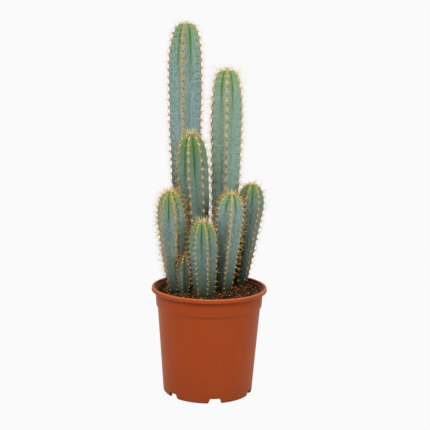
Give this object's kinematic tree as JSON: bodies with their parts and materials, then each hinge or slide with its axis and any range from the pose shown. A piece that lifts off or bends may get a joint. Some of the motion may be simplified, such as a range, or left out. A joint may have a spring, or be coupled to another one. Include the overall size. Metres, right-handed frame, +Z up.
{
  "type": "potted blue torch cactus",
  "caption": "Blue-green columnar cactus: ribbed, spiny columns of mixed heights standing in dark potting mix in a terracotta-coloured plastic nursery pot with a rolled lip and notched foot.",
  "frame": {"origin": "centre of the pot's foot, on the ground", "axes": "+Z up along the pot's axis, the front of the plant towards -Y, +X to the viewer's right"},
  "size_m": [0.1738, 0.1738, 0.55],
  "materials": {
    "pot_plastic": "satin moulded polypropylene, terracotta orange-brown",
    "potting_mix": "coarse dark brown bark and peat mix",
    "cactus_skin": "waxy blue-green skin with golden spines on tan areoles"
  },
  "bodies": {
    "root": {"pot": "pot_plastic", "potting_mix": "potting_mix", "column_tall_left": "cactus_skin", "column_tall_right": "cactus_skin", "column_middle": "cactus_skin", "column_left": "cactus_skin", "column_front": "cactus_skin", "column_right_centre": "cactus_skin", "column_right": "cactus_skin", "column_small": "cactus_skin"}
  },
  "joints": []
}
